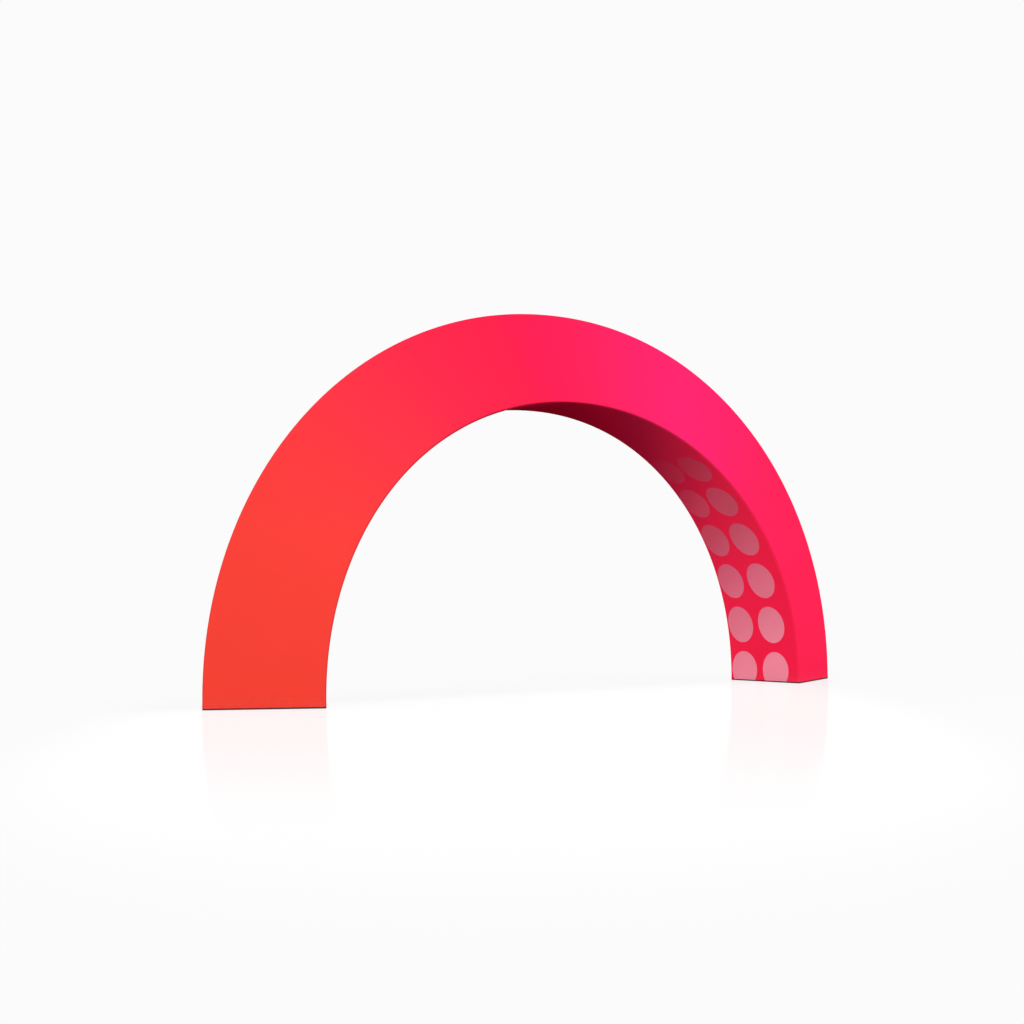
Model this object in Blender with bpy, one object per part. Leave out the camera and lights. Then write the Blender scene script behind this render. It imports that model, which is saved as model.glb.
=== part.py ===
"""Walk-through advertising arch: a stretch-fabric cover over three bent-tube hoops.

Sizes are in metres. X runs across the span, Y through the arch with the front at -Y, and Z is up.
The origin is on the ground under the middle of the arch.

Each cross-section is a triangle. One hoop runs along the outer ridge on the plane Y = 0, and two
smaller hoops run along the front and back inner edges. The cover is three sewn panels, one on each
side of the triangle, which meet at seams over the hoops.
"""

import math
from collections import namedtuple

import bmesh
import bpy
from mathutils import Vector

# Overall sizes, over the cloth
SPAN = 6.0
HEIGHT = 3.0
UPRIGHT = 0.063  # straight stretch at each foot, below the curve
FULLNESS = 0.979  # 1 gives a half ellipse, and less gives fuller shoulders
INNER_SHARE = 0.752  # size of the inner edges' curve against the ridge's
DEPTH_FOOT = 0.849  # between the two inner edges at the ground
DEPTH_CROWN = 0.673  # between the two inner edges at the top

# Stock
TUBE_RADIUS = 0.016
BAR_RADIUS = 0.0075
CLOTH = 0.002
PLATE = 0.006

# Clearances
GAP = 0.0003  # between neighbouring pieces
SLACK = 0.0005  # between a tube and the facets of the cloth round it
BAR_SEAT = 0.0006  # between a bar's flat end and the tube that it meets a little out of square

# Facets
ARC_STEPS = 48
WRAP_STEPS = 3  # facets of one panel round a hoop
TUBE_SIDES = 12
SHARP_ANGLE = math.radians(40)

# Degrees round the arch from the left foot, where bars hold the hoops apart
SPREADER_ANGLES = (30, 60, 90, 120, 150)

RIDGE, FRONT, BACK = range(3)
CORNER_NAMES = ("ridge", "front", "back")
WRAP_INNER = TUBE_RADIUS + SLACK
WRAP_OUTER = WRAP_INNER + CLOTH
SEAM_TURN = GAP / 2 / WRAP_INNER  # angle that each panel stops short of its seam

# origin: midway between the inner edges; out: unit vector from there to the ridge;
# tubes: the three hoop centres, as (along out, along Y) from the origin
Section = namedtuple("Section", "origin out tubes")


def clear_scene():
    for obj in list(bpy.data.objects):
        bpy.data.objects.remove(obj, do_unlink=True)


def finish(name, colour, roughness, metallic=0.0):
    """A plain Principled material."""
    material = bpy.data.materials.new(name)
    material.use_nodes = True
    shader = material.node_tree.nodes["Principled BSDF"]
    shader.inputs["Base Color"].default_value = (*colour, 1)
    shader.inputs["Roughness"].default_value = roughness
    shader.inputs["Metallic"].default_value = metallic
    return material


def arch_point(share, angle):
    """A point of the arch's curve, at a share of the ridge's size, in the plane Y = 0."""
    c, s = math.cos(angle), math.sin(angle)
    across = math.copysign(abs(c) ** FULLNESS, c) * SPAN / 2
    up = abs(s) ** FULLNESS * (HEIGHT - UPRIGHT)
    return Vector((-across * share, 0, UPRIGHT + up * share))


def section(angle, drop=0.0):
    """The cross-section at an angle round the arch, let down by drop."""
    ridge, inner = arch_point(1, angle), arch_point(INNER_SHARE, angle)
    half_depth = (DEPTH_FOOT + (DEPTH_CROWN - DEPTH_FOOT) * math.sin(angle) ** 2) / 2
    edges = [
        Vector(((ridge - inner).length, 0)),
        Vector((0, -half_depth)),
        Vector((0, half_depth)),
    ]
    middle = sum(edges, Vector((0, 0))) / 3
    tubes = [edge + (middle - edge).normalized() * WRAP_OUTER for edge in edges]
    return Section(inner - Vector((0, 0, drop)), (ridge - inner).normalized(), tubes)


def foot_section(angle, level):
    """The cross-section of the upright stretch at a height above the ground."""
    return section(angle, drop=UPRIGHT - level)


def stations():
    """The cross-sections from the left foot plate round to the right one."""
    level = PLATE + GAP
    arc = [section(math.pi * k / ARC_STEPS) for k in range(ARC_STEPS + 1)]
    return [foot_section(0, level), *arc, foot_section(math.pi, level)]


def placed(cut, points):
    """Points of a cross-section as points in space."""
    return [cut.origin + cut.out * p.x + Vector((0, p.y, 0)) for p in points]


def polar(radius, angle):
    return Vector((math.cos(angle), math.sin(angle))) * radius


def facing(tubes, i, j):
    """The direction, as an angle, in which the flat between two corners faces."""
    along = tubes[j] - tubes[i]
    normal = Vector((along.y, -along.x))
    if normal.dot(tubes[3 - i - j] - tubes[i]) > 0:
        normal = -normal
    return math.atan2(normal.y, normal.x)


def turn(start, end):
    """The shorter turn from one angle to another."""
    return (end - start + math.pi) % (2 * math.pi) - math.pi


def wrap_angles(tubes, i, j):
    """Angles round corner i, from its seam to the flat that runs to corner j."""
    flat, other = facing(tubes, i, j), facing(tubes, i, 3 - i - j)
    sweep = turn(flat, other) / 2
    sweep -= math.copysign(SEAM_TURN, sweep)
    return [flat + sweep * (1 - k / WRAP_STEPS) for k in range(WRAP_STEPS + 1)]


def panel_side(tubes, i, j, radius):
    """One face of a panel's profile, from the seam at corner i to the seam at corner j."""
    start = [tubes[i] + polar(radius, a) for a in wrap_angles(tubes, i, j)]
    end = [tubes[j] + polar(radius, a) for a in reversed(wrap_angles(tubes, j, i))]
    return start + end


def add_object(name, bm, material):
    """Turns a finished bmesh into a named, smooth-shaded object."""
    bmesh.ops.recalc_face_normals(bm, faces=bm.faces)
    mesh = bpy.data.meshes.new(name)
    bm.to_mesh(mesh)
    bm.free()
    mesh.materials.append(material)
    mesh.shade_smooth()
    mesh.set_sharp_from_angle(angle=SHARP_ANGLE)
    obj = bpy.data.objects.new(name, mesh)
    bpy.context.collection.objects.link(obj)
    return obj


def skin(bm, rings):
    """Joins closed rings of vertices with quads."""
    for ring, following in zip(rings, rings[1:]):
        for k in range(len(ring)):
            n = (k + 1) % len(ring)
            bm.faces.new((ring[k], ring[n], following[n], following[k]))


def add_panel(name, i, j, material):
    """A cloth panel between two corners, as one closed sheet."""
    bm = bmesh.new()
    rings = []
    for cut in stations():
        outside = panel_side(cut.tubes, i, j, WRAP_OUTER)
        inside = panel_side(cut.tubes, i, j, WRAP_INNER)
        rings.append([bm.verts.new(p) for p in placed(cut, outside + inside[::-1])])
    skin(bm, rings)
    for ring in (rings[0], rings[-1]):
        for k in range(len(ring) // 2 - 1):
            bm.faces.new((ring[k], ring[k + 1], ring[-k - 2], ring[-k - 1]))
    return add_object(name, bm, material)


def add_hoop(name, corner, material):
    """The bent tube at one corner, from foot plate to foot plate."""
    bm = bmesh.new()
    rings = []
    for cut in stations():
        steps = [2 * math.pi * k / TUBE_SIDES for k in range(TUBE_SIDES)]
        circle = [cut.tubes[corner] + polar(TUBE_RADIUS, a) for a in steps]
        rings.append([bm.verts.new(p) for p in placed(cut, circle)])
    skin(bm, rings)
    bm.faces.new(rings[0])
    bm.faces.new(rings[-1])
    return add_object(name, bm, material)


def add_bar(name, cut, i, j, material):
    """A round bar that ends just short of the tubes of two corners."""
    start, end = placed(cut, (cut.tubes[i], cut.tubes[j]))
    along = (end - start).normalized()
    start += along * (TUBE_RADIUS + BAR_SEAT)
    end -= along * (TUBE_RADIUS + BAR_SEAT)
    bm = bmesh.new()
    bmesh.ops.create_cone(
        bm,
        cap_ends=True,
        segments=TUBE_SIDES,
        radius1=BAR_RADIUS,
        radius2=BAR_RADIUS,
        depth=(end - start).length,
    )
    obj = add_object(name, bm, material)
    obj.location = (start + end) / 2
    obj.rotation_mode = "QUATERNION"
    obj.rotation_quaternion = along.to_track_quat("Z", "Y")
    return obj


def plate_outline(tubes):
    """The round-cornered triangle that the cover's outside makes in a cross-section."""
    points = []
    for i in (RIDGE, FRONT, BACK):
        before, after = facing(tubes, (i - 1) % 3, i), facing(tubes, i, (i + 1) % 3)
        steps = 2 * WRAP_STEPS
        points += [
            tubes[i] + polar(WRAP_OUTER, before + turn(before, after) * k / steps)
            for k in range(steps + 1)
        ]
    return points


def add_foot_plate(name, angle, material):
    """The flat plate that a foot stands on, level with the outside of the cloth."""
    bm = bmesh.new()
    rings = []
    for level in (0, PLATE):
        cut = foot_section(angle, level)
        rings.append([bm.verts.new(p) for p in placed(cut, plate_outline(cut.tubes))])
    skin(bm, rings)
    bm.faces.new(rings[0])
    bm.faces.new(rings[1])
    return add_object(name, bm, material)


def build():
    clear_scene()
    printed = finish("printed_cloth", (1.0, 0.03, 0.10), 0.75)
    soffit = finish("soffit_cloth", (0.55, 0.012, 0.045), 0.75)
    tube = finish("tube", (0.62, 0.63, 0.65), 0.35, metallic=1.0)
    plate = finish("plate", (0.02, 0.02, 0.022), 0.5, metallic=1.0)

    add_panel("front_panel", RIDGE, FRONT, printed)
    add_panel("back_panel", BACK, RIDGE, printed)
    add_panel("soffit_panel", FRONT, BACK, soffit)
    for corner, name in enumerate(CORNER_NAMES):
        add_hoop(f"{name}_hoop", corner, tube)
    for degrees in SPREADER_ANGLES:
        cut = section(math.radians(degrees))
        add_bar(f"spreader_{degrees}_front", cut, RIDGE, FRONT, tube)
        add_bar(f"spreader_{degrees}_back", cut, BACK, RIDGE, tube)
        add_bar(f"spreader_{degrees}_inner", cut, FRONT, BACK, tube)
    add_foot_plate("foot_plate_left", 0, plate)
    add_foot_plate("foot_plate_right", math.pi, plate)


build()
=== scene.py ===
"""Looks of a walk-through advertising arch: a printed stretch cover over bent hoops.

Sizes are in metres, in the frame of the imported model: X across the span, Y through the arch with the
front at -Y, and Z up.
"""

import math

import bpy
import numpy as np
from mathutils import Matrix, Vector


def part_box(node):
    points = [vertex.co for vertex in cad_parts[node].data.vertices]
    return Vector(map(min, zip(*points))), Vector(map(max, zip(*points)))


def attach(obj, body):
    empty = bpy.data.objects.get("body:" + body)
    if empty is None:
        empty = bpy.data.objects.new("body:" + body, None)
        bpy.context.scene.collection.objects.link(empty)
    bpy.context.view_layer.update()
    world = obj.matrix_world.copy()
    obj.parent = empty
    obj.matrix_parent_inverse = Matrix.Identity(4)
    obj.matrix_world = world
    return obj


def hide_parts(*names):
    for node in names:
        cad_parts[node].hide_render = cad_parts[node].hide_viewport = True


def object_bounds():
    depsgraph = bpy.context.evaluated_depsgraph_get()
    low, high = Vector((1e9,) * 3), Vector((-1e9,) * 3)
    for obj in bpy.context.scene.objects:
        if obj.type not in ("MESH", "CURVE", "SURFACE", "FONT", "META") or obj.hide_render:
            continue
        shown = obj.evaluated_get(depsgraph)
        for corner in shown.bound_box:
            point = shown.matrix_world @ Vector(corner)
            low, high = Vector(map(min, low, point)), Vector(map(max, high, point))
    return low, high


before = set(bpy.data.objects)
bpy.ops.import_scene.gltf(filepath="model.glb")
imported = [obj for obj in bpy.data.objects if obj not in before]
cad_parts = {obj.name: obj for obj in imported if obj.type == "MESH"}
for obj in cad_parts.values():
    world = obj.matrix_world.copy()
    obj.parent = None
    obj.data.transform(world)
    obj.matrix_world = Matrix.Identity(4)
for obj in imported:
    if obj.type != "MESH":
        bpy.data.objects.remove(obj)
CAD_LOW, CAD_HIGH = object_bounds()

# The frame's sizes, read from its pieces
SPAN = CAD_HIGH.x - CAD_LOW.x
HEIGHT = CAD_HIGH.z
PLATE_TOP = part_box("foot_plate_left")[1].z
TUBE_RADIUS = (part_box("ridge_hoop")[1].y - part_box("ridge_hoop")[0].y) / 2

# The arch's curve, which the hoops and the cover share
UPRIGHT = 0.063  # straight stretch at each foot
FULLNESS = 0.979  # 1 gives a half ellipse, and less gives fuller shoulders
INNER_SHARE = 0.752  # size of the inner edges' curve against the ridge's
DEPTH_FOOT = 0.849  # between the two inner edges at the ground
DEPTH_CROWN = 0.673  # between the two inner edges at the top
WRAP = TUBE_RADIUS + 0.0025  # from a hoop's middle to the outside of the cloth
PLATE_GAP = 0.0003  # from the plates up to the hoops and the cover

# The cloth
CLOTH = 0.0015  # thickness
HEM = 0.030  # depth of the turned hem at each foot
HEM_PROUD = 0.0009  # how far the hem's doubled cloth stands out
HEM_SLOPE = 0.003  # half the height over which the hem's second layer ends
FACE_SAG = -0.0045  # the outer faces draw in a little between the hoops
SOFFIT_SAG = 0.0060  # the band under the arch draws down a little
SAG_HEIGHTS = (0.05, 0.60)  # where the cloth comes free of the plates, and is quite free
RIPPLE = 0.0007  # height of the slow ripples
# Each ripple's radians for a metre along, radians across, start and share of the height
RIPPLES = ((9.7, 5.0, 0.0, 1.0), (16.3, -7.0, 1.3, 0.6), (5.1, 0.0, 2.2, 0.8))
SEAM_DIP = 0.0008  # the cloth turns in at a seam
SEAM_DIP_WIDTH = 0.0016

# The sewing
STITCH_PITCH = 0.0060
STITCH_LENGTH = 0.0043
STITCH_WIDTH = 0.0009
STITCH_RISE = 0.00045
ROW_FROM_SEAM = 0.0062
HEM_ROWS = (0.0215, 0.0275)  # above the hem's edge

# Facets
ARC_STEPS = 192
WRAP_STEPS = 8
FLAT_STEPS = 26
HOOP_SIDES = 24
SHARP_ANGLE = math.radians(40)  # an edge that turns by more is sharp, as at a tube's ends
# Heights above the foot where a panel and a hoop have rows of points
HEM_LEVELS = (0.0, 0.006, 0.013, 0.020, 0.026, 0.029, 0.031, 0.035, 0.044)
HOOP_LEVELS = (0.0, 0.04)

# The dots printed on the inner band
DOT_RADIUS = 0.159
DOT_PITCH = 0.3965
DOT_FIRST = 0.099  # from the ground up the band to the first row's middle
DOT_COLUMNS = (-0.357, 0.568)  # from the band's middle, in shares of half its depth
DOT_ROWS = 6
DOT_EDGE = 0.003  # width over which a dot's edge fades

RIDGE, FRONT, BACK = range(3)
HOOPS = {"ridge": RIDGE, "front": FRONT, "back": BACK}


def tone(code):
    """A colour written as six hex digits, as linear light."""
    parts = [int(code[k : k + 2], 16) / 255 for k in (0, 2, 4)]
    linear = [c / 12.92 if c <= 0.04045 else ((c + 0.055) / 1.055) ** 2.4 for c in parts]
    return (*linear, 1)


def grey(value):
    return (value, value, value, 1)


def smooth_step(x, low, high):
    """0 up to low, 1 from high on, and a smooth curve between them."""
    t = np.clip((x - low) / (high - low), 0, 1)
    return t * t * (3 - 2 * t)


def arch_points(share, angles):
    """Points of the arch's curve, at a share of the ridge's size, in the plane Y = 0."""
    c, s = np.cos(angles), np.sin(angles)
    across = -np.sign(c) * np.abs(c) ** FULLNESS * SPAN / 2
    up = np.abs(s) ** FULLNESS * (HEIGHT - UPRIGHT)
    return np.stack([across * share, np.zeros_like(c), UPRIGHT + up * share], axis=1)


class Sections:
    """Cross-sections from the left foot to the right one: three hoop centres in each."""

    def __init__(self, steps=ARC_STEPS, levels=HEM_LEVELS):
        foot = PLATE_TOP + PLATE_GAP + np.array(levels)
        arc = np.linspace(0, np.pi, steps + 1)
        self.angles = np.concatenate([np.zeros(len(foot)), arc, np.full(len(foot), np.pi)])
        drops = np.concatenate([UPRIGHT - foot, np.zeros(len(arc)), (UPRIGHT - foot)[::-1]])
        ridge, inner = arch_points(1, self.angles), arch_points(INNER_SHARE, self.angles)
        rise = np.linalg.norm(ridge - inner, axis=1)
        self.out = (ridge - inner) / rise[:, None]
        self.origin = inner - np.outer(drops, (0, 0, 1))
        half = (DEPTH_FOOT + (DEPTH_CROWN - DEPTH_FOOT) * np.sin(self.angles) ** 2) / 2
        zero = np.zeros_like(half)
        edges = np.stack([np.stack(p, 1) for p in ((rise, zero), (zero, -half), (zero, half))], 1)
        inward = edges.mean(1, keepdims=True) - edges
        self.tubes = edges + inward / np.linalg.norm(inward, axis=2, keepdims=True) * WRAP
        self.height = self.origin[:, 2]
        step = np.linalg.norm(np.diff(self.origin, axis=0), axis=1)
        self.run = self.origin[0, 2] + np.concatenate([[0], np.cumsum(step)])
        self.whole = self.run[-1] + self.origin[-1, 2]

    def place(self, flat):
        """Points (station, point, (out, depth)) as points in space."""
        spot = self.origin[:, None] + self.out[:, None] * flat[..., :1]
        spot[..., 1] += flat[..., 1]
        return spot

    def facing(self, i, j):
        """The angle in which the flat between two corners faces, at each station."""
        along = self.tubes[:, j] - self.tubes[:, i]
        normal = np.stack([along[:, 1], -along[:, 0]], 1)
        third = self.tubes[:, 3 - i - j] - self.tubes[:, i]
        normal *= -np.sign((normal * third).sum(1, keepdims=True))
        return np.arctan2(normal[:, 1], normal[:, 0])

    def sweep(self, i, j):
        """The turn round corner i from the flat that runs to corner j to the seam."""
        gap = self.facing(i, 3 - i - j) - self.facing(i, j)
        return ((gap + np.pi) % (2 * np.pi) - np.pi) / 2


def polar(radius, angle):
    """Steps (out, depth) in a cross-section, of a length and in a direction."""
    return np.stack([np.cos(angle), np.sin(angle)], -1) * np.asarray(radius)[..., None]


def panel_grid(cuts, i, j, sag):
    """A panel's outside from the seam at i to the one at j: points, distances across, angles."""
    flat, turns = cuts.facing(i, j), (cuts.sweep(i, j), cuts.sweep(j, i))
    fade = np.linspace(1, 0, WRAP_STEPS + 1)
    angle_i = flat[:, None] + turns[0][:, None] * fade
    angle_j = flat[:, None] + turns[1][:, None] * fade[::-1]
    arc_i, arc_j = (np.abs(t)[:, None] * WRAP for t in turns)
    dip_i = SEAM_DIP * np.exp(-((arc_i * (1 - fade) / SEAM_DIP_WIDTH) ** 2))
    dip_j = SEAM_DIP * np.exp(-((arc_j * (1 - fade[::-1]) / SEAM_DIP_WIDTH) ** 2))
    start = cuts.tubes[:, i, None] + polar(WRAP - dip_i, angle_i)
    end = cuts.tubes[:, j, None] + polar(WRAP - dip_j, angle_j)
    t = (np.arange(1, FLAT_STEPS) / FLAT_STEPS)[None, :, None]
    middle = start[:, -1:] * (1 - t) + end[:, :1] * t
    middle += polar(sag_at(cuts, t[0, :, 0], sag), flat[:, None])
    width = np.linalg.norm(end[:, 0] - start[:, -1], axis=1)[:, None]
    across = [arc_i * (1 - fade), arc_i + width * t[0, :, 0], arc_i + width + arc_j * (1 - fade)]
    points = np.concatenate([start, middle, end], 1)
    facing = np.concatenate([angle_i, np.repeat(flat[:, None], FLAT_STEPS - 1, 1), angle_j], 1)
    points += polar(hem_rise(cuts)[:, None] * np.ones_like(facing), facing)
    return cuts.place(points), np.concatenate(across, 1), facing


def sag_at(cuts, t, sag):
    """How far the cloth stands off its flat, which the plates hold straight at the feet."""
    free = smooth_step(cuts.height, *SAG_HEIGHTS)[:, None]
    bow = 4 * t * (1 - t)
    run = cuts.run[:, None]
    waves = sum(
        share * np.sin(run * along + across * t + start) for along, across, start, share in RIPPLES
    )
    return free * bow * (sag + RIPPLE * waves)


def hem_rise(cuts):
    """The doubled cloth of the hem stands a little proud."""
    above = cuts.height - PLATE_TOP - PLATE_GAP
    return HEM_PROUD * (1 - smooth_step(above, HEM - HEM_SLOPE, HEM + HEM_SLOPE))


def new_object(name, points, faces, uv_maps=(), smooth=True):
    """A mesh of faces that list their points, and maps that hold a value for each point."""
    mesh = bpy.data.meshes.new(name)
    mesh.from_pydata(points.tolist(), [], faces)
    corners = [k for face in faces for k in face]
    for map_name, values in uv_maps:
        layer = mesh.uv_layers.new(name=map_name)
        layer.data.foreach_set("uv", values[corners].astype(np.float32).ravel())
    if smooth:
        mesh.shade_smooth()
    mesh.validate()
    piece = bpy.data.objects.new(name, mesh)
    bpy.context.scene.collection.objects.link(piece)
    return piece


def grid_faces(rows, columns, closed=False):
    """Quads of a grid of points, joined across its last column if closed."""
    k = np.arange(rows * columns).reshape(rows, columns)
    right = np.roll(k, -1, 1) if closed else k[:, 1:]
    left = k if closed else k[:, :-1]
    return np.stack([left[:-1], right[:-1], right[1:], left[1:]], -1).reshape(-1, 4)


def add_panel(name, node, i, j, material):
    """A cloth panel that stands for its plain solid, as a thin closed sheet."""
    cuts = Sections()
    is_face = RIDGE in (i, j)
    grid, across, _ = panel_grid(cuts, i, j, FACE_SAG if is_face else SOFFIT_SAG)
    points, faces = grid.reshape(-1, 3), grid_faces(*across.shape)
    cloth = face_map(cuts, across) if is_face else band_map(cuts, grid)
    maps = {"cloth": cloth, "print": print_map(cuts, across)}
    maps = [(label, values.reshape(-1, 2)) for label, values in maps.items()]
    piece = new_object(name, points, faces.tolist(), maps)
    thick = piece.modifiers.new("thickness", "SOLIDIFY")
    thick.thickness = CLOTH
    thick.offset = -1
    piece.data.materials.append(material)
    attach(piece, "root")
    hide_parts(node)


def face_map(cuts, across):
    """An outer face's map in metres: along from the left foot, and across from the seam."""
    return np.stack([np.broadcast_to(cuts.run[:, None], across.shape), across], -1)


def band_map(cuts, grid):
    """The inner band's map in metres: along from the nearer foot, and back from the middle."""
    nearer = np.minimum(cuts.run, cuts.whole - cuts.run)
    return np.stack([np.broadcast_to(nearer[:, None], grid.shape[:2]), grid[..., 1]], -1)


def print_map(cuts, across):
    """Share of the way round the arch, and metres from the nearer seam."""
    share = np.broadcast_to(cuts.angles[:, None] / np.pi, across.shape)
    return np.stack([share, np.minimum(across, across[:, -1:] - across)], -1)


def add_hoop(name, node, corner, material):
    """A round bent tube that stands for its faceted solid."""
    cuts = Sections(levels=HOOP_LEVELS)
    steps = np.linspace(0, 2 * np.pi, HOOP_SIDES, endpoint=False)
    points = cuts.place(cuts.tubes[:, corner, None] + polar(TUBE_RADIUS, steps))
    sides = grid_faces(len(points), HOOP_SIDES, closed=True).tolist()
    first = list(range(HOOP_SIDES))
    last = [(len(points) - 1) * HOOP_SIDES + k for k in first]
    piece = new_object(name, points.reshape(-1, 3), [*sides, first[::-1], last])
    piece.data.set_sharp_from_angle(angle=SHARP_ANGLE)
    piece.data.materials.append(material)
    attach(piece, "root")
    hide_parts(node)


def outward(out, angles):
    """Directions in space that face the given angles of a cross-section."""
    way = polar(1.0, angles)
    facing = out * way[:, :1]
    facing[:, 1] += way[:, 1]
    return facing


def seam_row(cuts, i, j, offset):
    """A row of points and outward directions along a seam, on panel i-j beside corner i."""
    sweep = cuts.sweep(i, j)
    angle = cuts.facing(i, j) + sweep * (1 - offset / (np.abs(sweep) * WRAP))
    lift = polar(WRAP + hem_rise(cuts), angle)
    points = cuts.place((cuts.tubes[:, i] + lift)[:, None])[:, 0]
    return points, outward(cuts.out, angle)


def hem_row(i, j, foot, level):
    """A row of points and outward directions across a panel at a height above its hem's edge."""
    cuts = Sections(steps=2, levels=(level,))
    grid, _, facing = panel_grid(cuts, i, j, sag=0.0)
    return grid[foot], outward(cuts.out[foot], facing[foot])


def resampled(points, normals, pitch):
    """Evenly spaced places along a row: middle, along, side and outward directions."""
    length = np.concatenate([[0], np.cumsum(np.linalg.norm(np.diff(points, axis=0), axis=1))])
    at = np.arange(pitch, length[-1] - pitch, pitch)
    spot = np.stack([np.interp(at, length, points[:, k]) for k in range(3)], 1)
    ahead = np.stack([np.interp(at + pitch / 4, length, points[:, k]) for k in range(3)], 1)
    up = np.stack([np.interp(at, length, normals[:, k]) for k in range(3)], 1)
    along = (ahead - spot) / np.linalg.norm(ahead - spot, axis=1, keepdims=True)
    up -= along * (up * along).sum(1, keepdims=True)
    up /= np.linalg.norm(up, axis=1, keepdims=True)
    return spot, along, np.cross(up, along), up


# One stitch: two tips and two rings of four, as (along, side, up) in shares of its size
STITCH_RING = ((0, 1), (-1, 0), (0, -1), (1, 0))
STITCH_POINTS = np.array(
    [(-0.5, 0, -0.4)]
    + [(x, side / 2, up) for x in (-0.28, 0.28) for side, up in STITCH_RING]
    + [(0.5, 0, -0.4)]
)
STITCH_FACES = np.array(
    [(0, 1 + (k + 1) % 4, 1 + k) for k in range(4)]
    + [(1 + k, 1 + (k + 1) % 4, 5 + (k + 1) % 4) for k in range(4)]
    + [(1 + k, 5 + (k + 1) % 4, 5 + k) for k in range(4)]
    + [(9, 5 + k, 5 + (k + 1) % 4) for k in range(4)]
)


def add_stitches(name, rows, material):
    """All the stitches of several rows, joined into one mesh."""
    size = np.array([STITCH_LENGTH, STITCH_WIDTH, STITCH_RISE])
    clouds = []
    for points, normals in rows:
        spot, along, side, up = resampled(points, normals, STITCH_PITCH)
        axes = np.stack([along, side, up], 1)
        clouds.append(spot[:, None] + (STITCH_POINTS * size) @ axes)
    points = np.concatenate(clouds)
    first = np.arange(len(points))[:, None, None] * len(STITCH_POINTS)
    faces = (first + STITCH_FACES).reshape(-1, 3).tolist()
    piece = new_object(name, points.reshape(-1, 3), faces)
    piece.data.materials.append(material)
    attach(piece, "root")
    return piece


# Where nodes stand in the node editor
NODE_COLUMNS = 8
NODE_STEP = (200, -220)
SHADER_SPOT = (1900, 0)
OUTPUT_SPOT = (2200, 0)


class Nodes:
    """Adds nodes to a node tree and links them, from left to right."""

    def __init__(self, tree):
        self.tree = tree
        self.count = 0

    def add(self, kind, inputs=None, **settings):
        node = self.tree.nodes.new(kind)
        down, along = divmod(self.count, NODE_COLUMNS)
        node.location = (NODE_STEP[0] * along, NODE_STEP[1] * down)
        self.count += 1
        for key, value in settings.items():
            setattr(node, key, value)
        for key, value in (inputs or {}).items():
            self.set(node.inputs[key], value)
        return node

    def set(self, socket, value):
        if isinstance(value, bpy.types.NodeSocket):
            self.tree.links.new(value, socket)
        else:
            socket.default_value = value

    def math(self, operation, a, b=0.0, c=0.0):
        node = self.add("ShaderNodeMath", {0: a, 1: b, 2: c}, operation=operation)
        return node.outputs[0]

    def ramp(self, factor, stops, interpolation="LINEAR"):
        """A colour ramp of (place, linear colour) stops."""
        node = self.add("ShaderNodeValToRGB", {"Fac": factor})
        node.color_ramp.interpolation = interpolation
        elements = node.color_ramp.elements
        while len(elements) < len(stops):
            elements.new(1.0)
        for element, (place, colour) in zip(elements, stops):
            element.position = place
            element.color = colour
        return node.outputs["Color"]

    def print_and_shade_gradient(self, factor, stops):
        """A gradient of print colours, on the inner band partly painted shade, which runs smoothly
        through (place, hex colour) stops.
        """
        return self.ramp(factor, [(place, tone(code)) for place, code in stops], "CARDINAL")

    def mix(self, factor, a, b, blend="MIX"):
        """A mix of two colours, whose sockets come after the node's number and vector ones."""
        settings = {"data_type": "RGBA", "blend_type": blend}
        return self.add("ShaderNodeMix", {0: factor, 6: a, 7: b}, **settings).outputs[2]

    def mix_tones(self, factor, codes):
        """A mix of two colours written as hex digits."""
        return self.mix(factor, *(tone(code) for code in codes))

    def between(self, value, low, high, to_low=0.0, to_high=1.0, smooth=True):
        """A value's place between low and high, held to the ends."""
        node = self.add(
            "ShaderNodeMapRange",
            {"Value": value, "From Min": low, "From Max": high, "To Min": to_low, "To Max": to_high},
            interpolation_type="SMOOTHSTEP" if smooth else "LINEAR",
            clamp=True,
        )
        return node.outputs["Result"]

    def dimmed(self, colour, share):
        """A colour at a share of its brightness."""
        grey = self.add("ShaderNodeCombineColor", {0: share, 1: share, 2: share}).outputs[0]
        return self.mix(1.0, colour, grey, "MULTIPLY")

    def map(self, name):
        """The two coordinates of one of the mesh's maps."""
        uv = self.add("ShaderNodeUVMap", uv_map=name).outputs["UV"]
        parts = self.add("ShaderNodeSeparateXYZ", {"Vector": uv})
        return parts.outputs["X"], parts.outputs["Y"]

    def spot(self):
        """The place on the object, in metres."""
        return self.add("ShaderNodeTexCoord").outputs["Object"]

    def height(self):
        return self.add("ShaderNodeSeparateXYZ", {"Vector": self.spot()}).outputs["Z"]

    def noise(self, scale, detail, roughness=0.5):
        """A noise over the object, with so many patches along each metre."""
        inputs = {"Vector": self.spot(), "Scale": scale, "Detail": detail, "Roughness": roughness}
        return self.add("ShaderNodeTexNoise", inputs).outputs["Fac"]

    def relief(self, height, strength=1.0):
        """The normal of a surface with a relief in metres."""
        inputs = {"Height": height, "Strength": strength, "Distance": 1.0}
        return self.add("ShaderNodeBump", inputs).outputs["Normal"]

    def place(self, group, inputs):
        """One of the shader groups below, with its own values."""
        node = self.add("ShaderNodeGroup", node_tree=group)
        for key, value in inputs.items():
            self.set(node.inputs[key], value)
        return node.outputs


def new_group(name, inputs, outputs):
    """An empty shader group with named sockets."""
    group = bpy.data.node_groups.new(name, "ShaderNodeTree")
    for label, kind, default in inputs:
        socket = group.interface.new_socket(label, in_out="INPUT", socket_type=kind)
        socket.default_value = default
    for label, kind in outputs:
        group.interface.new_socket(label, in_out="OUTPUT", socket_type=kind)
    n = Nodes(group)
    return group, n, n.add("NodeGroupInput").outputs, n.add("NodeGroupOutput").inputs


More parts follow.
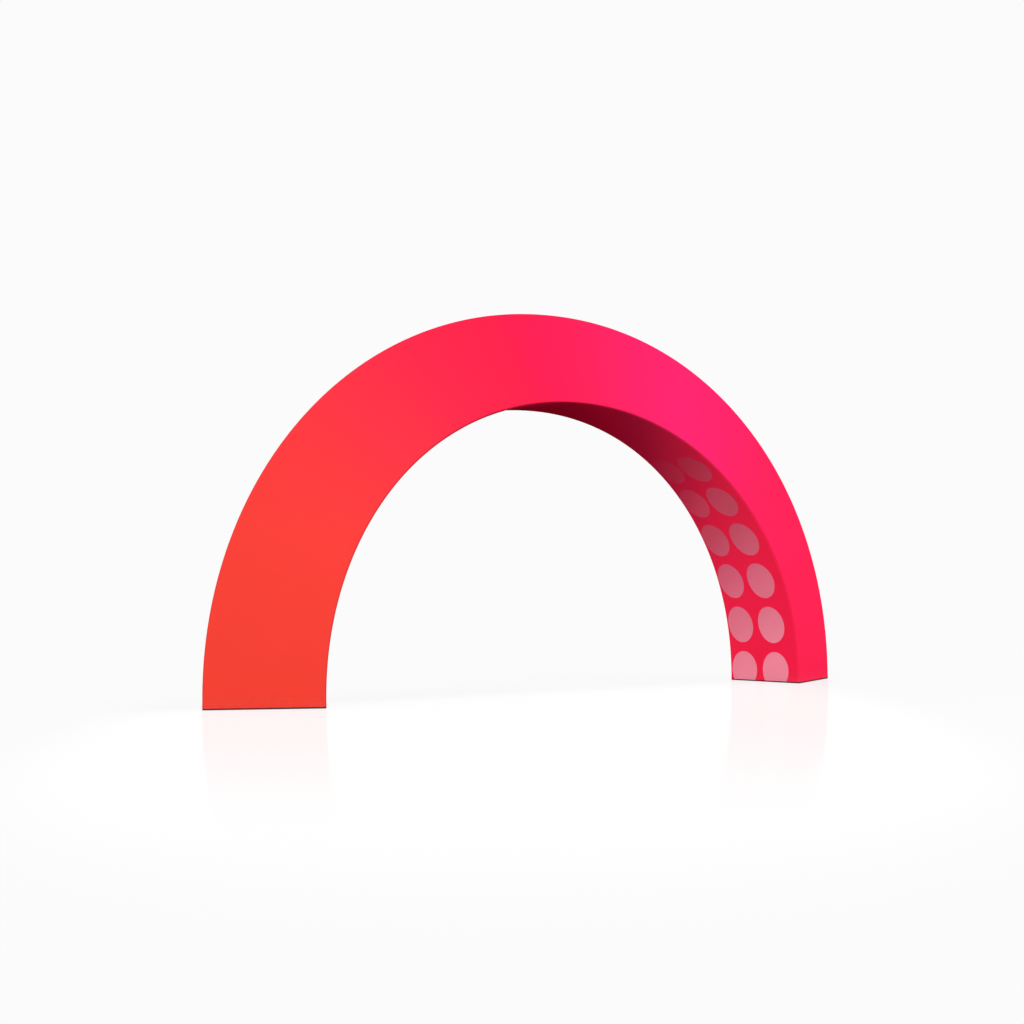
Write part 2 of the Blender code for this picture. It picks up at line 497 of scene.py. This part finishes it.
FLOAT = "NodeSocketFloat"
LOOP_LEAN = 1.6  # how far a knitted loop's turn lies off its sides, in radians of the course
NOISE_RANGE = (0.3, 0.7)  # what most of a noise's values lie between
PUCKERS = 42.0  # along each metre of seam
SEAM_LINE = (0.0004, 0.0022)  # distances from the seam over which its painted dark line of shade fades
DUST_GRAIN = 26.0  # patches along each metre
DUST_PATCHES = (0.35, 0.75)  # values of the noise between which the dust sets in
CONTACT_SHADOW_FULL = 0.8  # share of the painted contact shadow along each foot that is full, before it fades


def knit_group():
    """A fine warp knit: rows of small loops, as a relief in metres and as a tone for the painted shade
    between the loops.
    """
    group, n, given, out = new_group(
        "warp knit",
        [
            ("Along", FLOAT, 0.0),
            ("Across", FLOAT, 0.0),
            ("Pitch", FLOAT, 0.0012),
            ("Relief", FLOAT, 0.00003),
        ],
        [("Height", FLOAT), ("Tone", FLOAT)],
    )
    turns = n.math("DIVIDE", 2 * math.pi, given["Pitch"])
    wale = n.math("SINE", n.math("MULTIPLY", given["Across"], turns))
    lean = n.math("MULTIPLY", n.math("ABSOLUTE", wale), LOOP_LEAN)
    course = n.math("MULTIPLY_ADD", given["Along"], turns, lean)
    loop = n.math("MULTIPLY", n.math("SINE", course), n.math("ABSOLUTE", wale))
    n.set(out["Height"], n.math("MULTIPLY", loop, given["Relief"]))
    n.set(out["Tone"], n.math("MULTIPLY_ADD", loop, 0.5, 0.5))
    return group


def uneven_group():
    """Slow, faint unevenness over a surface, between two values."""
    group, n, given, out = new_group(
        "slow unevenness",
        [("Size", FLOAT, 0.3), ("Low", FLOAT, 0.0), ("High", FLOAT, 1.0)],
        [("Value", FLOAT)],
    )
    noise = n.noise(n.math("DIVIDE", 1.0, given["Size"]), detail=4.0, roughness=0.55)
    n.set(out["Value"], n.between(noise, *NOISE_RANGE, given["Low"], given["High"]))
    return group


def seam_group():
    """What a sewn seam does to cloth: a painted dark line of shade at the edge, where the cloth turns
    in, and puckers that fade beside it.
    """
    group, n, given, out = new_group(
        "sewn seam",
        [
            ("Along", FLOAT, 0.0),
            ("From Seam", FLOAT, 0.1),
            ("Reach", FLOAT, 0.03),
            ("Pucker", FLOAT, 0.0002),
        ],
        [("Height", FLOAT), ("Shade", FLOAT)],
    )
    near = n.between(given["From Seam"], 0.0, given["Reach"], 1.0, 0.0)
    wobble = n.add(
        "ShaderNodeTexNoise",
        {"W": n.math("MULTIPLY", given["Along"], PUCKERS), "Detail": 1.0},
        noise_dimensions="1D",
    ).outputs["Fac"]
    n.set(out["Height"], n.math("MULTIPLY", n.math("MULTIPLY", wobble, given["Pucker"]), near))
    n.set(out["Shade"], n.between(given["From Seam"], *SEAM_LINE, 1.0, 0.0))
    return group


def soiling_group():
    """Handling dust near the ground: strongest at the foot, broken up by a fine noise."""
    group, n, given, out = new_group(
        "ground dust",
        [("Reach", FLOAT, 0.25), ("Amount", FLOAT, 0.1)],
        [("Mask", FLOAT)],
    )
    low = n.between(n.height(), 0.0, given["Reach"], 1.0, 0.0)
    patch = n.between(n.noise(DUST_GRAIN, detail=6.0), *DUST_PATCHES)
    n.set(out["Mask"], n.math("MULTIPLY", n.math("MULTIPLY", low, patch), given["Amount"]))
    return group


def contact_shadow_group():
    """A painted contact shadow: the dark line where the cover meets the ground."""
    group, n, given, out = new_group("foot contact shadow", [("Height", FLOAT, 0.01)], [("Mask", FLOAT)])
    start = n.math("MULTIPLY", given["Height"], CONTACT_SHADOW_FULL)
    n.set(out["Mask"], n.between(n.height(), start, given["Height"], 1.0, 0.0))
    return group


def dots_group():
    """Round dots in rows counted from the foot, and in columns that close in as the band narrows."""
    group, n, given, out = new_group(
        "printed dots",
        [(label, FLOAT, 0.0) for label in ("Along", "Across", "Half Width", "Edge")],
        [("Mask", FLOAT)],
    )
    first = n.math("SUBTRACT", given["Along"], DOT_FIRST)
    row = n.math("ROUND", n.math("DIVIDE", first, DOT_PITCH))
    row = n.math("MINIMUM", n.math("MAXIMUM", row, 0.0), DOT_ROWS - 1.0)
    off_row = n.math("SUBTRACT", first, n.math("MULTIPLY", row, DOT_PITCH))
    middles = [n.math("MULTIPLY", given["Half Width"], share) for share in DOT_COLUMNS]
    off_columns = [n.math("ABSOLUTE", n.math("SUBTRACT", given["Across"], y)) for y in middles]
    off_column = n.math("MINIMUM", *off_columns)
    squares = n.math("MULTIPLY_ADD", off_row, off_row, n.math("MULTIPLY", off_column, off_column))
    away = n.math("SUBTRACT", n.math("SQRT", squares), DOT_RADIUS)
    half = n.math("MULTIPLY", given["Edge"], 0.5)
    n.set(out["Mask"], n.between(away, n.math("MULTIPLY", half, -1.0), half, 1.0, 0.0))
    return group


HALF_BAND = Sections().whole / 2  # length of the inner band from the ground to its top
KNIT, UNEVEN, SEAM = knit_group(), uneven_group(), seam_group()
SOILING, FOOT_CONTACT_SHADOW, DOTS = soiling_group(), contact_shadow_group(), dots_group()

# Print colours of the outer faces, by share of the way round from the left foot
FACE_PRINT = (
    (0.00, "F04235"),  # orange red at the left foot
    (0.17, "F33E3B"),
    (0.33, "F82E47"),
    (0.45, "FA224B"),  # red pink at the crown
    (0.55, "FA235C"),
    (0.66, "FA256A"),  # hot pink over the right shoulder
    (0.78, "FA245A"),
    (1.00, "FB2551"),
)
# Print colours of the inner band, by share of the way up from a foot, and of its dots; their darkening
# towards the top is partly print and partly painted shade
BAND_PRINT_AND_SHADE = (
    (0.05, "F82149"),
    (0.30, "F8244A"),
    (0.50, "E42146"),
    (0.68, "BA193C"),
    (0.85, "A20A2C"),
    (1.00, "8F0520"),
)
DOT_PRINT_AND_SHADE = (
    (0.04, "F58DA2"),
    (0.15, "EB7F94"),
    (0.26, "E56F88"),
    (0.37, "D75A72"),
    (0.50, "CE4C66"),
    (0.60, "B4405A"),
)
THREAD_REDS = ("CC1C3E", "E22850")
TUBE_GREYS = ((0.56, 0.57, 0.59, 1), (0.68, 0.69, 0.70, 1))
TUBE_LINES = 900.0  # patches along each metre
TUBE_RELIEF = 0.00001
# Dark maroon coat: partly the plates' own colour, partly painted shadow under the feet
PLATE_COATS_AND_SHADOW = ("1D090D", "280F14")
PEEL_GRAIN = 700.0  # patches along each metre
PEEL_RELIEF = 0.00005
DUST = tone("8F857C")
# Colour of the painted shade along the seams and of the painted contact shadow at the feet
SEAM_SHADE = (0.06, 0.002, 0.006, 1)
SEAM_DARKNESS = 0.45
CONTACT_SHADOW_TOP = 0.0115  # top of the painted contact shadow along each foot
CONTACT_SHADOW_DARKNESS = 0.85
KNIT_SHADE = 0.96  # painted shade between the knit's loops, against their tops
DOT_FADE = (0.38, 0.77)  # shares of the way up between which the dots fade out
BAND_SHADE_SLANT = 1.1  # how much further up the print and its painted shade have run on its back edge, for its depth, which darkens the back edge
# The same for the dots, whose darkening is partly painted shade
DOT_SHADE_SLANT = 0.55


def new_material(name):
    material = bpy.data.materials.new(name)
    material.use_nodes = True
    n = Nodes(material.node_tree)
    shader = material.node_tree.nodes["Principled BSDF"]
    shader.location = SHADER_SPOT
    material.node_tree.nodes["Material Output"].location = OUTPUT_SPOT
    return material, n, shader


def cloth_finish(n, shader, colour, along, across, from_seam):
    """What every panel's cloth shares: the knit with painted shade between its loops, the seams'
    puckers and painted shade, faint unevenness, dust, and a painted contact shadow at the feet.
    """
    knit = n.place(KNIT, {"Along": along, "Across": across, "Pitch": 0.0011, "Relief": 0.00002})
    seam = n.place(SEAM, {"Along": along, "From Seam": from_seam, "Reach": 0.035, "Pucker": 0.0004})
    ink = n.place(UNEVEN, {"Size": 0.35, "Low": 0.985, "High": 1.0})["Value"]
    fuzz = n.place(UNEVEN, {"Size": 0.08, "Low": 0.72, "High": 0.82})["Value"]
    dust = n.place(SOILING, {"Reach": 0.12, "Amount": 0.10})["Mask"]
    # Painted shade between the knit's loops
    thread = n.between(knit["Tone"], 0.0, 1.0, KNIT_SHADE, 1.0, smooth=False)
    colour = n.dimmed(n.dimmed(colour, ink), thread)
    # Painted shade: a dark line along each seam
    colour = n.mix(n.math("MULTIPLY", seam["Shade"], SEAM_DARKNESS), colour, SEAM_SHADE)
    colour = n.mix(dust, colour, DUST)
    # Painted contact shadow: a dark line along the cloth's lowest edge at each foot
    edge = n.place(FOOT_CONTACT_SHADOW, {"Height": CONTACT_SHADOW_TOP})["Mask"]
    colour = n.mix(n.math("MULTIPLY", edge, CONTACT_SHADOW_DARKNESS), colour, SEAM_SHADE)
    n.set(shader.inputs["Base Color"], colour)
    n.set(shader.inputs["Roughness"], fuzz)
    n.set(shader.inputs["Normal"], n.relief(n.math("ADD", knit["Height"], seam["Height"])))
    shader.inputs["Specular IOR Level"].default_value = 0.0


def face_material():
    """Dye-printed stretch cloth of the outer faces: orange red running round to hot pink."""
    material, n, shader = new_material("printed_face_cloth")
    along, across = n.map("cloth")
    share, from_seam = n.map("print")
    cloth_finish(n, shader, n.print_and_shade_gradient(share, FACE_PRINT), along, across, from_seam)
    return material


def band_material():
    """Dye-printed stretch cloth of the inner band: crimson with fading dots, darker overhead and
    towards its back edge, partly print and partly painted shade.
    """
    material, n, shader = new_material("printed_band_cloth")
    along, depth = n.map("cloth")
    share, from_seam = n.map("print")
    # Band and dots darken upwards and backwards: partly print, partly painted shade
    way_up = n.math("DIVIDE", n.math("MULTIPLY_ADD", depth, BAND_SHADE_SLANT, along), HALF_BAND)
    base = n.print_and_shade_gradient(way_up, BAND_PRINT_AND_SHADE)
    dot_way = n.math("DIVIDE", n.math("MULTIPLY_ADD", depth, DOT_SHADE_SLANT, along), HALF_BAND)
    light = n.print_and_shade_gradient(dot_way, DOT_PRINT_AND_SHADE)
    rise = n.math("SINE", n.math("MULTIPLY", share, math.pi))
    rise = n.math("MULTIPLY", rise, rise)
    half = n.math("MULTIPLY_ADD", rise, (DEPTH_CROWN - DEPTH_FOOT) / 2, DEPTH_FOOT / 2)
    inputs = {"Along": along, "Across": depth, "Half Width": half, "Edge": DOT_EDGE}
    dots = n.place(DOTS, inputs)["Mask"]
    fade = n.between(way_up, *DOT_FADE, 1.0, 0.0)
    colour = n.mix(n.math("MULTIPLY", dots, fade), base, light)
    cloth_finish(n, shader, colour, along, depth, from_seam)
    return material


def thread_material():
    """Twisted polyester thread, a deeper red than the cloth."""
    material, n, shader = new_material("sewing_thread")
    tint = n.place(UNEVEN, {"Size": 0.02, "Low": 0.0, "High": 1.0})["Value"]
    n.set(shader.inputs["Base Color"], n.mix_tones(tint, THREAD_REDS))
    n.set(shader.inputs["Roughness"], n.place(UNEVEN, {"Size": 0.01, "Low": 0.4, "High": 0.6})["Value"])
    return material


def tube_material():
    """Drawn aluminium tube: fine lines round it, and a cloudy grey bloom."""
    material, n, shader = new_material("drawn_aluminium")
    bloom = n.place(UNEVEN, {"Size": 0.12, "Low": 0.0, "High": 1.0})["Value"]
    n.set(shader.inputs["Base Color"], n.mix(bloom, *TUBE_GREYS))
    n.set(shader.inputs["Roughness"], n.between(bloom, 0.0, 1.0, 0.28, 0.42))
    scratch = n.math("MULTIPLY", n.noise(TUBE_LINES, detail=2.0), TUBE_RELIEF)
    n.set(shader.inputs["Normal"], n.relief(scratch, strength=0.6))
    shader.inputs["Metallic"].default_value = 1.0
    return material


def plate_material():
    """Dark powder-coated steel, whose dark maroon also stands in for the shadow under the feet, with a
    fine orange-peel surface and dust near the ground.
    """
    material, n, shader = new_material("powder_coated_plate")
    patchy = n.place(UNEVEN, {"Size": 0.06, "Low": 0.0, "High": 1.0})["Value"]
    dust = n.place(SOILING, {"Reach": 0.02, "Amount": 0.10})["Mask"]
    coat = n.mix_tones(patchy, PLATE_COATS_AND_SHADOW)
    n.set(shader.inputs["Base Color"], n.mix(dust, coat, DUST))
    n.set(shader.inputs["Roughness"], n.between(patchy, 0.0, 1.0, 0.45, 0.6))
    peel = n.math("MULTIPLY", n.noise(PEEL_GRAIN, detail=1.0), PEEL_RELIEF)
    n.set(shader.inputs["Normal"], n.relief(peel))
    return material


def build_cover(face, band, sewn):
    """The three panels; the sewing that is passed in is not used."""
    add_panel("front_face_cloth", "front_panel", RIDGE, FRONT, face)
    add_panel("back_face_cloth", "back_panel", BACK, RIDGE, face)
    add_panel("inner_band_cloth", "soffit_panel", FRONT, BACK, band)


def build_hoops(material):
    for side, corner in HOOPS.items():
        add_hoop(f"{side}_hoop_tube", f"{side}_hoop", corner, material)


def build_sewing(material):
    """Twin rows along each seam, one on each panel, and two rows round each hem."""
    cuts = Sections()
    sewn = {}
    for side, corner in HOOPS.items():
        others = [k for k in HOOPS.values() if k != corner]
        rows = [seam_row(cuts, corner, other, ROW_FROM_SEAM) for other in others]
        sewn[f"{side}_seam"] = add_stitches(f"{side}_seam_stitches", rows, material)
    panels = ((RIDGE, FRONT), (BACK, RIDGE), (FRONT, BACK))
    for side, foot in (("left", 0), ("right", -1)):
        rows = [hem_row(i, j, foot, level) for i, j in panels for level in HEM_ROWS]
        sewn[f"{side}_hem"] = add_stitches(f"{side}_hem_stitches", rows, material)
    return sewn


def dress_frame(tube, plate):
    """Gives the pieces that stay as they are their finishes."""
    for name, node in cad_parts.items():
        if name.startswith("spreader"):
            node.data.materials[0] = tube
        elif name.startswith("foot_plate"):
            node.data.materials[0] = plate


# The picture: a camera in front and to the left, low down, on a white studio floor
CAMERA_PLACE = (-8.373, -11.656, 0.838)
CAMERA_HEADING = 34.49  # degrees from +Y towards +X
CAMERA_TILT = 2.37  # degrees up
CAMERA_ROLL = -0.60  # degrees
PIXEL_FOCUS = 1807.9  # focal length in pixels of the 1024-pixel frame
FRAME_PIXELS = 1024
SENSOR_WIDTH = 36  # millimetres
BACKDROP = 0.965
FLOOR_REACH = 16.0
FLOOR_DROP = 0.0003  # keeps the floor's face off the plates' undersides
FLOOR_CLEAR = (6.5, 11.5)  # distances over which the floor fades into the backdrop
FLOOR_GLOW = 0.855  # how much of the floor's white is even, and not lit
FLOOR_LIT = 0.10
FLOOR_BOUNCE = 0.50  # how pale the floor is to the light that it throws back
PAINTED_POOL_LIGHT = 0.045  # a painted pool of light on the floor in front of the arch
POOL_PLACE = (-1.42, -1.45)
POOL_REACH = (2.7, 8.2)  # to its sides, and towards the camera
POOL_FADE = (0.80, 1.1)
POOL_START = (0.5, -0.4)  # along Y, from behind the arch to its front, where the painted pool of light begins
SHINE = 0.095  # how strongly the floor mirrors the feet
SHINE_ROUGHNESS = 0.09
SHINE_WAY = (0.565, 0.825, 0.0)  # the shine fades out towards the front left
SHINE_FADE = (-9.0, -3.5)
DOME = ((0.46, grey(0.40)), (0.54, grey(0.95)))  # below and above the horizon
# Light from the front left that is the same all over, and a softbox to the front right
SIDE_WASH = {"way": (0.85, 0.40, -0.34), "strength": 0.94, "spread": 30}
SOFTBOX = {"place": (7.0, -12.0, 5.0), "target": (0, 0, 1.3), "size": (8, 5), "power": 550}


def build_camera():
    data = bpy.data.cameras.new("camera")
    data.sensor_width = SENSOR_WIDTH
    data.lens = PIXEL_FOCUS / FRAME_PIXELS * SENSOR_WIDTH
    camera = bpy.data.objects.new("camera", data)
    heading = Matrix.Rotation(math.radians(-CAMERA_HEADING), 4, "Z")
    tilt = Matrix.Rotation(math.radians(90 + CAMERA_TILT), 4, "X")
    roll = Matrix.Rotation(math.radians(CAMERA_ROLL), 4, "Z")
    camera.matrix_world = Matrix.Translation(CAMERA_PLACE) @ heading @ tilt @ roll
    bpy.context.scene.collection.objects.link(camera)
    bpy.context.scene.camera = camera


def floor_material():
    """Pale, faintly glossy floor with a painted pool of light in front of the arch: it fades into the
    backdrop, and from below it is clear.
    """
    material = bpy.data.materials.new("studio_floor")
    material.use_nodes = True
    tree = material.node_tree
    tree.nodes.clear()
    n = Nodes(tree)
    seen = n.add("ShaderNodeLightPath").outputs["Is Camera Ray"]
    spot = n.spot()
    back = n.add("ShaderNodeSeparateXYZ", {"Vector": spot}).outputs["Y"]
    away = n.add("ShaderNodeVectorMath", {0: spot}, operation="LENGTH").outputs["Value"]
    turned = n.add("ShaderNodeMapping", {0: spot}, vector_type="TEXTURE")
    turned.inputs["Location"].default_value = (*POOL_PLACE, 0)
    turned.inputs["Rotation"].default_value = (0, 0, -math.radians(CAMERA_HEADING))
    turned.inputs["Scale"].default_value = (*POOL_REACH, 1)
    reach = n.add("ShaderNodeVectorMath", {0: turned.outputs[0]}, operation="LENGTH").outputs["Value"]
    # Painted pool of light on the floor in front of the arch
    painted_light_pool = n.between(reach, *POOL_FADE, PAINTED_POOL_LIGHT, 0.0)
    painted_light_pool = n.math("MULTIPLY", painted_light_pool, n.between(back, *POOL_START))
    glow = n.math("MULTIPLY", seen, n.math("ADD", painted_light_pool, FLOOR_GLOW))
    glow = n.add("ShaderNodeEmission", {"Strength": glow}).outputs[0]
    pale = n.mix(seen, grey(FLOOR_BOUNCE), grey(FLOOR_LIT))
    matt = n.add("ShaderNodeBsdfDiffuse", {"Color": pale}).outputs[0]
    even = n.add("ShaderNodeAddShader", {0: matt, 1: glow}).outputs[0]
    way = {0: spot, 1: SHINE_WAY}
    near = n.add("ShaderNodeVectorMath", way, operation="DOT_PRODUCT").outputs["Value"]
    polish = {"Color": (1, 1, 1, 1), "Roughness": SHINE_ROUGHNESS}
    shine = n.add("ShaderNodeBsdfGlossy", polish).outputs[0]
    share = n.between(near, *SHINE_FADE, 0.0, SHINE)
    floor = n.add("ShaderNodeMixShader", {0: share, 1: even, 2: shine}).outputs[0]
    below = n.add("ShaderNodeNewGeometry").outputs["Backfacing"]
    gone = n.math("MAXIMUM", n.between(away, *FLOOR_CLEAR), below)
    clear = n.add("ShaderNodeBsdfTransparent").outputs[0]
    mixed = n.add("ShaderNodeMixShader", {0: gone, 1: floor, 2: clear}).outputs[0]
    n.add("ShaderNodeOutputMaterial", {"Surface": mixed})
    return material


def build_floor():
    corners = np.array([(-1, -1, 0), (1, -1, 0), (1, 1, 0), (-1, 1, 0)]) * FLOOR_REACH
    floor = new_object("studio_floor", corners, [(0, 1, 2, 3)], smooth=False)
    floor.location.z = -FLOOR_DROP
    floor.data.materials.append(floor_material())


def build_world():
    """A white backdrop to the camera and in the floor, and a soft dome of light to all else."""
    world = bpy.data.worlds.new("studio")
    world.use_nodes = True
    bpy.context.scene.world = world
    tree = world.node_tree
    tree.nodes.clear()
    n = Nodes(tree)
    path = n.add("ShaderNodeLightPath").outputs
    seen = n.math("MAXIMUM", path["Is Camera Ray"], path["Is Glossy Ray"])
    way = n.add("ShaderNodeTexCoord").outputs["Generated"]
    up = n.add("ShaderNodeSeparateXYZ", {"Vector": way}).outputs["Z"]
    dome = n.ramp(n.between(up, -1.0, 1.0, smooth=False), DOME)
    colour = n.mix(seen, dome, grey(BACKDROP))
    light = n.add("ShaderNodeBackground", {"Color": colour, "Strength": 1.0}).outputs[0]
    n.add("ShaderNodeOutputWorld", {"Surface": light})


def add_softbox(name, place, target, size, power):
    data = bpy.data.lights.new(name, "AREA")
    data.shape = "RECTANGLE"
    data.size, data.size_y = size
    data.energy = power
    light = bpy.data.objects.new(name, data)
    light.location = place
    light.rotation_euler = (Vector(target) - Vector(place)).to_track_quat("-Z", "Y").to_euler()
    light.visible_camera = False
    light.visible_glossy = False
    bpy.context.scene.collection.objects.link(light)


def add_wash(name, way, strength, spread):
    """Soft light from one side that is equally strong all over the object."""
    data = bpy.data.lights.new(name, "SUN")
    data.energy = strength
    data.angle = math.radians(spread)
    light = bpy.data.objects.new(name, data)
    light.rotation_euler = Vector(way).to_track_quat("-Z", "Y").to_euler()
    bpy.context.scene.collection.objects.link(light)


def build_lights():
    add_wash("side_wash", **SIDE_WASH)
    add_softbox("front_softbox", **SOFTBOX)


def main():
    build_camera()
    build_world()
    build_lights()
    build_floor()
    tube = tube_material()
    build_hoops(tube)
    build_cover(face_material(), band_material(), build_sewing(thread_material()))
    dress_frame(tube, plate_material())
    scene = bpy.context.scene
    scene.view_settings.view_transform = "Standard"
    scene.view_settings.look = "None"


main()
